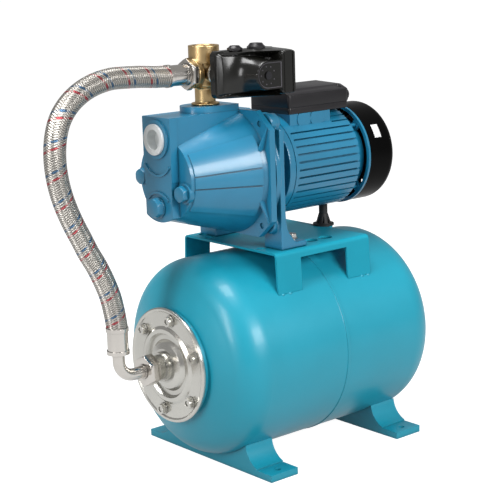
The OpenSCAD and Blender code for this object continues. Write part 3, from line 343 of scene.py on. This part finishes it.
def switch_cover_look():
    """A hood that runs from a square rim to a round-ended boss and a block, on one fine grid."""
    low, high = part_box("switch_cover")
    x1, x2, z1, z2 = low[0], high[0], low[2], high[2]
    y_front, y_rim, y_back = low[1] + 0.4 * MM, high[1] - 9 * MM, high[1]
    bx, bz, br = (low[0] + 48.5 * MM), (low[2] + 29 * MM), 18.5 * MM
    block_x1, block_x2 = x2 - 30 * MM, x2 - 4.5 * MM
    nx, nz = 180, 100
    corner = 7 * MM

    def outside(px, pz, cx1, cx2, cz1, cz2, r):
        qx = max(cx1 + r - px, px - cx2 + r, 0)
        qz = max(cz1 + r - pz, pz - cz2 + r, 0)
        return math.hypot(qx, qz) - r

    def lift(px, pz):
        """How far a place is raised, from 0 at the rim to 1 on the front face."""
        edge = max(0.0, -outside(px, pz, x1, x2, z1, z2, corner))
        if px > bx:
            from_boss = max(0.0, abs(pz - bz) - br)
        else:
            from_boss = max(0.0, math.hypot(px - bx, pz - bz) - br)
        cone_edge = max(0.0, edge - 2.6 * MM)
        cone = 1 - from_boss / (from_boss + cone_edge + 1e-6)
        cone = min(1.0, cone) ** 0.9
        if px > bx and from_boss > 0:
            cone *= max(0.35, 1 - 0.5 * (px - bx) / (block_x1 - bx))
        along = min(1.0, max(0.0, (px - x1 - 3 * MM) / (block_x1 - x1 - 3 * MM)))
        if px > block_x1 + 2 * MM:
            cone, along = 0.0, 0.0
        for from_edge, width in ((z2 - pz, 11 * MM), (pz - z1, 7 * MM)):
            fall = min(1.0, max(0.0, (from_edge - 1.0 * MM) / width))
            start = min(1.0, from_edge / (1.6 * MM)) ** 0.5
            valley = fall * fall * (3 - 2 * fall)
            cone = max(cone, 0.97 * along * start * (1 - 0.42 * valley))
        out = outside(px, pz, block_x1 - 1 * MM, block_x2, z1 + 1.6 * MM, z2 - 0.6 * MM, 6 * MM)
        block = min(1.0, max(0.0, (-out + 0.2 * MM) / (3.0 * MM)))
        block = math.sqrt(max(0.0, 1 - (1 - block) ** 2))
        for groove in (block_x1 + 4.5 * MM, block_x2 - 6.5 * MM):
            block -= 0.045 * max(0.0, 1 - abs(px - groove) / (1.3 * MM))
        return max(cone, block)

    verts, faces = [], []
    for j in range(nz + 1):
        for i in range(nx + 1):
            u, v = i / nx, j / nz
            px, pz = x1 + (x2 - x1) * u, z1 + (z2 - z1) * v
            # round the grid's corners onto the rim's outline
            out = outside(px, pz, x1, x2, z1, z2, corner)
            if out > 0:
                cx = min(max(px, x1 + corner), x2 - corner)
                cz = min(max(pz, z1 + corner), z2 - corner)
                d = math.hypot(px - cx, pz - cz)
                px, pz = cx + (px - cx) * corner / d, cz + (pz - cz) * corner / d
            verts.append((px, y_rim + (y_front - y_rim) * lift(px, pz), pz))
    for j in range(nz):
        for i in range(nx):
            a = j * (nx + 1) + i
            faces.append((a, a + 1, a + nx + 2, a + nx + 1))
    ring = [i for i in range(nx + 1)] + [j * (nx + 1) + nx for j in range(1, nz + 1)]
    ring += [nz * (nx + 1) + i for i in range(nx - 1, -1, -1)] + [j * (nx + 1) for j in range(nz - 1, 0, -1)]
    base = len(verts)
    for k in ring:
        verts.append((verts[k][0], y_back, verts[k][2]))
    count = len(ring)
    for k in range(count):
        n = (k + 1) % count
        faces.append((ring[n], ring[k], base + k, base + n))
    obj = mesh_object("switch_cover_look", verts, faces)
    obj.data.set_sharp_from_angle(angle=math.radians(50))
    obj.data.materials.append(switch_black)
    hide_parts("switch_cover")
    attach(obj, "station")

    # the boss's dull face, a round-ended plate with a ring of pips round the screw
    r = br - 2.2 * MM
    reach = block_x1 - bx - 1.0 * MM
    outline = [(bx + r * math.cos(a), bz + r * math.sin(a))
               for a in (math.pi / 2 + math.pi * k / 24 for k in range(25))]
    outline += [(bx + reach, bz - r), (bx + reach, bz + r)]
    y0, y1 = y_front + 0.5 * MM, y_front - 0.25 * MM
    verts = [(px, y0, pz) for px, pz in outline] + [(px, y1, pz) for px, pz in outline]
    inner = [(bx + (px - bx) * 0.93, bz + (pz - bz) * 0.93) for px, pz in outline]
    verts += [(px, y1 + 0.3 * MM, pz) for px, pz in inner]
    n = len(outline)
    faces = [(k, (k + 1) % n, n + (k + 1) % n, n + k) for k in range(n)]
    faces += [(n + k, n + (k + 1) % n, 2 * n + (k + 1) % n, 2 * n + k) for k in range(n)]
    faces.append([2 * n + k for k in range(n)])
    for k in range(9):
        a = math.pi * (0.15 + 1.7 * k / 8) + 0.0
        cx, cz = bx + 11.5 * MM * math.cos(a), bz + 11.5 * MM * math.sin(a)
        start = len(verts)
        for h, w in ((0.35, 1.1), (0.05, 0.8), (0.0, 0.3)):
            verts += [(cx + w * MM * math.cos(t), y_front + h * MM - 0.3 * MM, cz + w * MM * math.sin(t))
                      for t in (2 * math.pi * m / 10 for m in range(10))]
        for level in (0, 1):
            for m in range(10):
                q = start + 10 * level
                faces.append((q + m, q + (m + 1) % 10, q + 10 + (m + 1) % 10, q + 10 + m))
        faces.append([start + 20 + m for m in range(10)])
    face = mesh_object("switch_face_plate", verts, faces, smooth=False)
    face.data.materials.append(switch_face)
    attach(face, "station")


switch_cover_look()


# ------------------------------------------------------------------ label, welds and seam

def rounded_band(name, ring, section, mat, closed=True):
    """A band that carries a small cross-section along a ring of (place, out, side) frames."""
    verts, faces = [], []
    m = len(section)
    for place, out, side in ring:
        verts += [place + out * a * MM + side * b * MM for a, b in section]
    n = len(ring)
    for i in range(n if closed else n - 1):
        j = (i + 1) % n
        faces += [(i * m + k, i * m + k + 1, j * m + k + 1, j * m + k) for k in range(m - 1)]
    obj = mesh_object(name, verts, faces)
    obj.data.materials.append(mat)
    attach(obj, "station")
    return obj


def cover_label():
    """A blank label on the fan cover's near side."""
    low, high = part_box("fan_cover")
    axis_z, radius = (low[2] + high[2]) / 2, (high[2] - low[2]) / 2
    x1, x2 = low[0] + 14 * MM, low[0] + 26.5 * MM
    a1, a2, rows = math.radians(53), math.radians(69), 12
    ring = []
    for k in range(rows + 1):
        a = a1 + (a2 - a1) * k / rows
        out = Vector((0, -math.sin(a), math.cos(a)))
        ring.append((Vector((x1, 0, axis_z)) + out * radius, out, X_AXIS))
    wide = (x2 - x1) / MM
    section = [(-0.1, 0), (0.12, 0.15), (0.15, 0.5), (0.15, wide - 0.5), (0.12, wide - 0.15), (-0.1, wide)]
    rounded_band("cover_label", ring, section, label_white, closed=False)


def tank_seam():
    """The low weld bead where the tank's two halves meet."""
    low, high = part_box("tank_front_shell")
    axis_z, radius, x = (low[2] + high[2]) / 2, (high[1] - low[1]) / 2, high[0]
    ring = []
    for k in range(240):
        a = 2 * math.pi * k / 240
        out = Vector((0, math.cos(a), math.sin(a)))
        ring.append((Vector((x, 0, axis_z)) + out * (radius - 0.35 * MM), out, X_AXIS))
    section = [(-0.2, -1.8), (0.25, -1.2), (0.55, -0.4), (0.6, 0), (0.55, 0.4), (0.25, 1.2), (-0.2, 1.8)]
    rounded_band("tank_seam", ring, section, tank_paint)


def leg_welds():
    """Two spot weld beads below the foot of each deck leg."""
    low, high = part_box("deck")
    tank_low, tank_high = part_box("tank_front_shell")
    axis_z, radius = (tank_low[2] + tank_high[2]) / 2, (tank_high[1] - tank_low[1]) / 2
    leg = 27 * MM
    verts, faces = [], []
    for side in (-1, 1):
        for x in (low[0] + 0.28 * leg, low[0] + 0.75 * leg, low[0] + 153 * MM, low[0] + 165 * MM):
            a = math.radians(47.4)
            out = Vector((0, side * math.sin(a), math.cos(a)))
            down = Vector((0, side * math.cos(a), -math.sin(a)))
            centre = Vector((x, 0, axis_z)) + out * (radius - 0.6 * MM)
            start = len(verts)
            for level in range(5):
                t = math.pi / 2 * level / 4
                r, h = 2.7 * math.cos(t), 1.9 * math.sin(t)
                for k in range(14):
                    b = 2 * math.pi * k / 14
                    verts.append(centre + X_AXIS * r * 1.15 * math.cos(b) * MM + down * r * math.sin(b) * MM
                                 + out * h * MM)
            for level in range(4):
                for k in range(14):
                    q, n = start + 14 * level, (k + 1) % 14
                    faces.append((q + k, q + n, q + 14 + n, q + 14 + k))
    obj = mesh_object("leg_welds", verts, faces)
    obj.data.materials.append(tank_paint)
    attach(obj, "station")


cover_label()
tank_seam()
leg_welds()


# ------------------------------------------------------------------ hose

HOSE_ROUTE = [(x * MM, 0.0, z * MM) for x, z in (
    (-186, 526), (-205, 527), (-227, 529), (-250, 530), (-272, 530), (-294, 526), (-315, 518),
    (-334, 505), (-348, 488), (-356, 467), (-359, 444), (-358, 422), (-354, 400), (-347, 378),
    (-338, 357), (-328, 337), (-318, 317), (-307, 298), (-297, 277), (-289, 256), (-284, 234),
    (-281, 214))]
HOSE_R = 13.95 * MM


def smooth_path(points, steps):
    """A Catmull-Rom curve through the points, with evenly shared steps."""
    pts = [Vector(p) for p in points]
    pts = [pts[0] * 2 - pts[1]] + pts + [pts[-1] * 2 - pts[-2]]
    out = []
    for i in range(1, len(pts) - 2):
        p0, p1, p2, p3 = pts[i - 1:i + 3]
        for k in range(steps):
            t = k / steps
            out.append(0.5 * ((2 * p1) + (p2 - p0) * t + (2 * p0 - 5 * p1 + 4 * p2 - p3) * t * t
                              + (3 * p1 - p0 - 3 * p2 + p3) * t ** 3))
    out.append(pts[-2])
    return out


def tube_along(name, path, radius, sides):
    """A tube in the X-Z plane with a UV map: u runs round it, v is the length in metres."""
    verts, faces, lengths = [], [], [0.0]
    for i, point in enumerate(path):
        ahead = (path[min(i + 1, len(path) - 1)] - path[max(i - 1, 0)]).normalized()
        up = Vector((0, 1, 0)).cross(ahead)
        for k in range(sides):
            a = 2 * math.pi * k / sides
            verts.append(point + radius * (math.cos(a) * Vector((0, 1, 0)) + math.sin(a) * up))
        if i:
            lengths.append(lengths[-1] + (point - path[i - 1]).length)
    for i in range(len(path) - 1):
        for k in range(sides):
            n = (k + 1) % sides
            faces.append((i * sides + k, i * sides + n, (i + 1) * sides + n, (i + 1) * sides + k))
    obj = mesh_object(name, verts, faces)
    uv = obj.data.uv_layers.new(name="along")
    for poly in obj.data.polygons:
        i, k = divmod(poly.index, sides)
        corners = ((k, i), (k + 1, i), (k + 1, i + 1), (k, i + 1))
        for loop, (a, b) in zip(poly.loop_indices, corners):
            uv.data[loop].uv = (a / sides, lengths[b])
    return obj, lengths[-1]


hose_path = smooth_path(HOSE_ROUTE, 8)
hose, hose_length = tube_along("hose_braid", hose_path, HOSE_R, 48)


def braid_material():
    """Two sets of wire bundles that cross over and under, with blue and red tracer bundles."""
    mat, tree, shader = new_material("braided_wire")
    uv = tree.nodes.new("ShaderNodeUVMap")
    uv.uv_map = "along"
    split = tree.nodes.new("ShaderNodeSeparateXYZ")
    tree.links.new(uv.outputs[0], split.inputs[0])
    bundles = 12
    pitch = 0.035
    around = math_node(tree, "MULTIPLY", split.outputs[0], bundles)
    along = math_node(tree, "MULTIPLY", split.outputs[1], bundles / pitch)
    a = math_node(tree, "ADD", around, along)
    b = math_node(tree, "ADD", math_node(tree, "SUBTRACT", around, along), 1200.0)
    row_a, row_b = math_node(tree, "FLOOR", a), math_node(tree, "FLOOR", b)
    cell = math_node(tree, "ADD", row_a, row_b)
    over = math_node(tree, "LESS_THAN", math_node(tree, "MODULO", math_node(tree, "MULTIPLY", cell, 0.5), 2.0), 1.0)
    under = math_node(tree, "SUBTRACT", 1.0, over)
    heights = []
    for part in (a, b):
        within = math_node(tree, "FRACT", part)
        crown = math_node(tree, "SINE", math_node(tree, "MULTIPLY", within, math.pi))
        wires = math_node(tree, "ABSOLUTE", math_node(tree, "SINE", math_node(tree, "MULTIPLY", within, math.pi * 4)))
        heights.append(math_node(tree, "ADD", math_node(tree, "MULTIPLY", crown, 0.65),
                                 math_node(tree, "MULTIPLY", wires, 0.35)))
    lift_a = math_node(tree, "MULTIPLY", heights[0], math_node(tree, "ADD", math_node(tree, "MULTIPLY", over, 0.6), 0.4))
    lift_b = math_node(tree, "MULTIPLY", heights[1], math_node(tree, "ADD", math_node(tree, "MULTIPLY", under, 0.6), 0.4))
    height = math_node(tree, "MAXIMUM", lift_a, lift_b)
    bump(tree, shader, height, 0.8, 0.0009)
    # Painted shade: the colour follows the weave's height, so the gaps between bundles and each bundle where it dips
    # under the other set are darkened, while the crowns stay light.
    tone = ramp(tree, height, [(0.28, (0.075, 0.068, 0.06)), (0.55, (0.33, 0.31, 0.28)), (0.88, (0.68, 0.65, 0.60))])
    on_top = math_node(tree, "GREATER_THAN", lift_a, lift_b)
    turn = math_node(tree, "MODULO", row_a, float(bundles))
    colour = tone
    for which, tint in ((2.0, (0.03, 0.12, 0.25, 1)), (5.0, (0.42, 0.03, 0.05, 1))):
        here = math_node(tree, "COMPARE", turn, which, 0.4)
        seen = math_node(tree, "ADD", math_node(tree, "MULTIPLY", on_top, 0.65), 0.25)
        here = math_node(tree, "MULTIPLY", here, seen)
        mix = tree.nodes.new("ShaderNodeMix")
        mix.data_type = "RGBA"
        tree.links.new(here, mix.inputs["Factor"])
        tree.links.new(colour, mix.inputs["A"])
        mix.inputs["B"].default_value = tint
        colour = mix.outputs["Result"]
    tree.links.new(colour, shader.inputs["Base Color"])
    shader.inputs["Metallic"].default_value = 0.9
    shader.inputs["Roughness"].default_value = 0.30
    return mat


hose.data.materials.append(braid_material())
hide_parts("hose")
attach(hose, "station")


# ------------------------------------------------------------------ floor and light

def area_light(name, place, target, size, power, colour=(1, 1, 1)):
    data = bpy.data.lights.new(name, "AREA")
    data.shape = "RECTANGLE"
    data.size, data.size_y = size
    data.energy = power
    data.color = colour
    obj = link(bpy.data.objects.new(name, data))
    obj.location = place
    obj.rotation_euler = (Vector(target) - Vector(place)).to_track_quat("-Z", "Y").to_euler()
    return obj


def white_floor():
    """Pale floor that reads as paper white, with only the shade under the set left on it."""
    mat, tree, shader = new_material("floor_white")
    tone = ramp(tree, noise(tree, 3.0), [(0.3, (0.34, 0.34, 0.34)), (0.7, (0.36, 0.36, 0.36))])
    tree.links.new(tone, shader.inputs["Base Color"])
    shader.inputs["Roughness"].default_value = 0.9
    shader.inputs["Specular IOR Level"].default_value = 0.1
    glow = tree.nodes.new("ShaderNodeEmission")
    sight = tree.nodes.new("ShaderNodeLightPath")
    power = math_node(tree, "MULTIPLY", sight.outputs["Is Camera Ray"], 0.96)
    power = math_node(tree, "ADD", power, math_node(tree, "MULTIPLY", sight.outputs["Is Glossy Ray"], 0.40))
    tree.links.new(power, glow.inputs["Strength"])
    both = tree.nodes.new("ShaderNodeAddShader")
    tree.links.new(shader.outputs[0], both.inputs[0])
    tree.links.new(glow.outputs[0], both.inputs[1])
    out = [n for n in tree.nodes if n.type == "OUTPUT_MATERIAL"][0]
    tree.links.new(both.outputs[0], out.inputs["Surface"])
    return mat


floor = mesh_object("floor", [(-30, -30, 0), (30, -30, 0), (30, 30, 0), (-30, 30, 0)], [(0, 1, 2, 3)])
floor.data.materials.append(white_floor())

world = bpy.data.worlds.new("studio")
bpy.context.scene.world = world
world.use_nodes = True
sky = world.node_tree
background = sky.nodes["Background"]
sight = sky.nodes.new("ShaderNodeLightPath")
level = math_node(sky, "ADD", math_node(sky, "MULTIPLY", sight.outputs["Is Camera Ray"], 0.85), 0.20)
level = math_node(sky, "ADD", level, math_node(sky, "MULTIPLY", sight.outputs["Is Glossy Ray"], 0.15))
sky.links.new(level, background.inputs["Strength"])
background.inputs["Color"].default_value = (1, 1, 1, 1)
bpy.context.scene.view_settings.view_transform = "Standard"

area_light("overhead", (-0.35, 0.15, 2.2), (0, 0, 0.3), (1.5, 0.8), 44)
area_light("front", (0.25, -2.4, 1.35), (0, 0, 0.3), (1.6, 0.8), 46)
area_light("left", (-2.3, -0.3, 1.1), (-0.1, 0, 0.3), (0.5, 1.4), 22)
